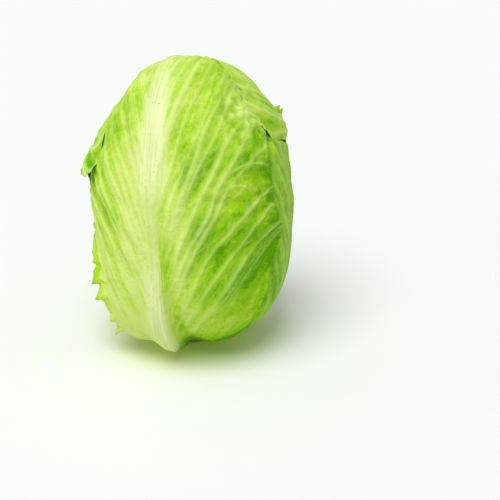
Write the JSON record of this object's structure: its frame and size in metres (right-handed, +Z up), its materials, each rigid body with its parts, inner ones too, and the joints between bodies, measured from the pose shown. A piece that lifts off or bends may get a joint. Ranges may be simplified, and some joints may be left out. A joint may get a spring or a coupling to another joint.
{
  "type": "iceberg lettuce",
  "caption": "Whole iceberg lettuce head standing on its cut stem, its cupped leaves wrapped one over another round a small heart.",
  "frame": {"origin": "middle of the stem's cut face, on the surface the head stands on", "axes": "+Z up along the head; the front wrapper leaf's broad midrib looks along -Y; +X to the right seen from the front"},
  "size_m": [0.1431, 0.1451, 0.2003],
  "materials": {
    "wrapper_leaf": "fresh green leaf, pale along its ribs, with a soft waxy sheen",
    "inner_leaf": "pale yellow-green leaf grown in the dark of the head",
    "heart": "tightly folded yellow leaves",
    "stem": "firm cream-green flesh with a dried, cut foot"
  },
  "bodies": {
    "root": {"stem": "stem", "wrapper_leaf_back_left": "wrapper_leaf", "wrapper_leaf_back_right": "wrapper_leaf", "wrapper_leaf_front": "wrapper_leaf", "wrapper_leaf_right": "wrapper_leaf", "wrapper_leaf_left": "wrapper_leaf", "wrapper_leaf_rear": "wrapper_leaf", "inner_leaf_01": "inner_leaf", "inner_leaf_02": "inner_leaf", "inner_leaf_03": "inner_leaf", "inner_leaf_04": "inner_leaf", "inner_leaf_05": "inner_leaf", "inner_leaf_06": "inner_leaf", "inner_leaf_07": "inner_leaf", "inner_leaf_08": "inner_leaf", "inner_leaf_09": "inner_leaf", "inner_leaf_10": "inner_leaf", "inner_leaf_11": "inner_leaf", "heart": "heart"}
  },
  "joints": []
}
